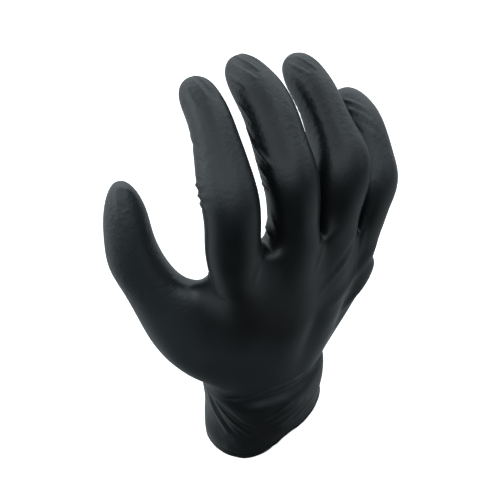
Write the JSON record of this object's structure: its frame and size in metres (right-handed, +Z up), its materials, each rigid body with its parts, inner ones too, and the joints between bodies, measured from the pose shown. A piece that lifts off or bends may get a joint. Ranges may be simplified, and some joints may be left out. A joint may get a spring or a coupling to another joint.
{
  "type": "nitrile exam glove",
  "caption": "Black disposable nitrile exam glove for the right hand, in its worn form with curled fingers, a stretched thumb web and an open cuff with a rolled rim.",
  "frame": {"origin": "centre of the cuff mouth, where the hand goes in", "axes": "+Z up the cuff towards the fingers, -Y the back of the hand, +Y the palm, -X the thumb side, +X the little finger side"},
  "size_m": [0.125, 0.07, 0.2111],
  "materials": {
    "film": "satin"
  },
  "bodies": {
    "root": {"glove_shell": "film"}
  },
  "joints": []
}
